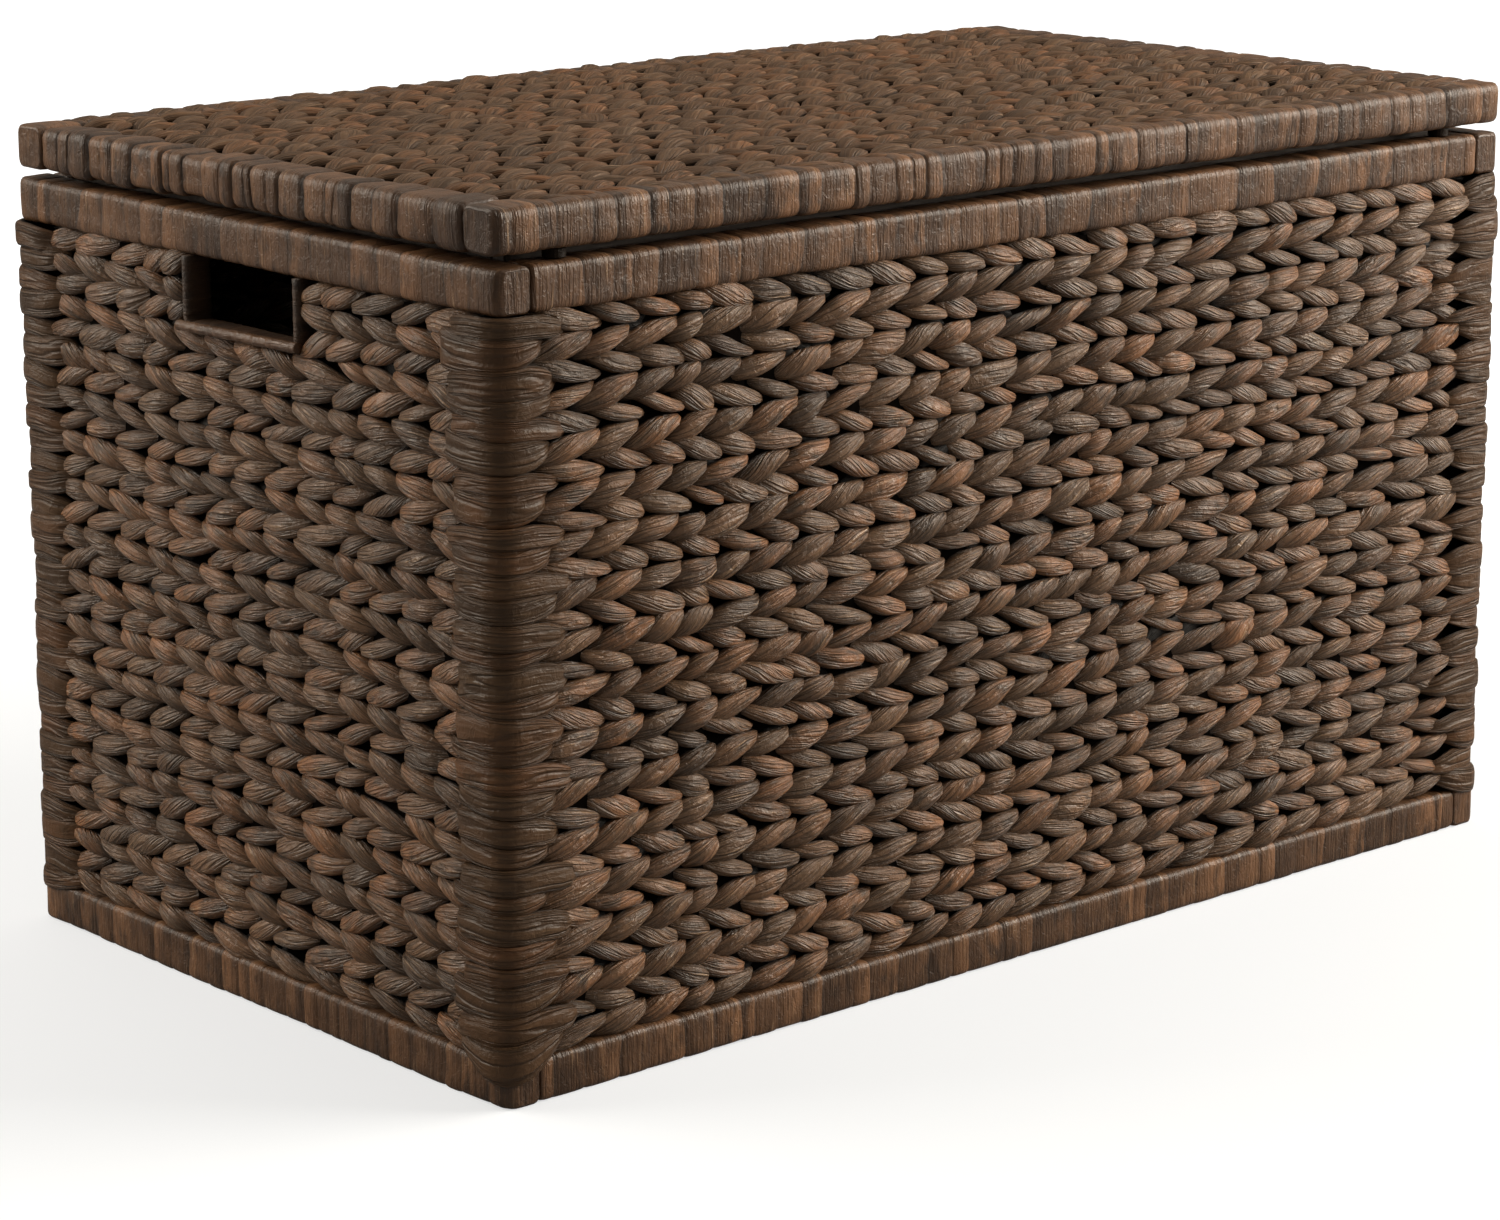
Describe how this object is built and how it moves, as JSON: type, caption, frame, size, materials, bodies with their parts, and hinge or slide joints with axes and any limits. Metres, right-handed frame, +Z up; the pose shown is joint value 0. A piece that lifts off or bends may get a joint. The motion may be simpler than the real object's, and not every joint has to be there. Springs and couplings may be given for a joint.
{
  "type": "storage chest",
  "caption": "Rectangular woven storage chest: wrapped wooden frame, twined leaf walls with a hand hole at each end, and a flat woven lid hinged along the back.",
  "frame": {"origin": "middle of the chest's footprint, on the floor", "axes": "+X along the length, +Y towards the hinged back, +Z up"},
  "size_m": [0.768, 0.433, 0.457],
  "materials": {
    "woven_leaf": "dark brown stained water-hyacinth leaf, twined, satin lacquer",
    "wrapped_leaf": "dark brown stained leaf strips wound flat round a rail, satin lacquer",
    "stained_wood": "dark walnut stain, matt",
    "floor_board": "brown stained plywood, matt",
    "black_steel": "black powder coat, satin",
    "pin_steel": "dark steel",
    "bumper_felt": "dark felt"
  },
  "bodies": {
    "chest": {"base_crossbar_left": "stained_wood", "base_crossbar_right": "stained_wood", "base_rail_back": "wrapped_leaf", "base_rail_front": "wrapped_leaf", "base_rail_left": "wrapped_leaf", "base_rail_right": "wrapped_leaf", "corner_post_back_left": "stained_wood", "corner_post_back_right": "stained_wood", "corner_post_front_left": "stained_wood", "corner_post_front_right": "stained_wood", "corner_wrap_back_left": "woven_leaf", "corner_wrap_back_right": "woven_leaf", "corner_wrap_front_left": "woven_leaf", "corner_wrap_front_right": "woven_leaf", "floor_board": "floor_board", "hand_hole_frame_left": "wrapped_leaf", "hand_hole_frame_right": "wrapped_leaf", "hinge_leaf_chest_left": "black_steel", "hinge_leaf_chest_right": "black_steel", "hinge_pin_left": "pin_steel", "hinge_pin_right": "pin_steel", "hinge_screw_chest_left_1": "black_steel", "hinge_screw_chest_left_2": "black_steel", "hinge_screw_chest_right_1": "black_steel", "hinge_screw_chest_right_2": "black_steel", "rim_rail_back": "wrapped_leaf", "rim_rail_front": "wrapped_leaf", "rim_rail_left": "wrapped_leaf", "rim_rail_right": "wrapped_leaf", "woven_wall_back": "woven_leaf", "woven_wall_front": "woven_leaf", "woven_wall_left": "woven_leaf", "woven_wall_right": "woven_leaf"},
    "lid": {"bumper_left": "bumper_felt", "bumper_right": "bumper_felt", "hinge_leaf_lid_left": "black_steel", "hinge_leaf_lid_right": "black_steel", "hinge_screw_lid_left_1": "black_steel", "hinge_screw_lid_left_2": "black_steel", "hinge_screw_lid_right_1": "black_steel", "hinge_screw_lid_right_2": "black_steel", "lid_brace_left": "stained_wood", "lid_brace_right": "stained_wood", "lid_lip_front": "stained_wood", "lid_lip_left": "stained_wood", "lid_lip_right": "stained_wood", "lid_panel": "woven_leaf", "lid_rail_back": "wrapped_leaf", "lid_rail_front": "wrapped_leaf", "lid_rail_left": "wrapped_leaf", "lid_rail_right": "wrapped_leaf"}
  },
  "joints": [
    {"name": "lid_hinge", "type": "hinge", "parent": "chest", "child": "lid", "pos_m": [0, 0.213, 0.43025], "axis": [-1, 0, 0], "range_deg": [0, 100]}
  ]
}
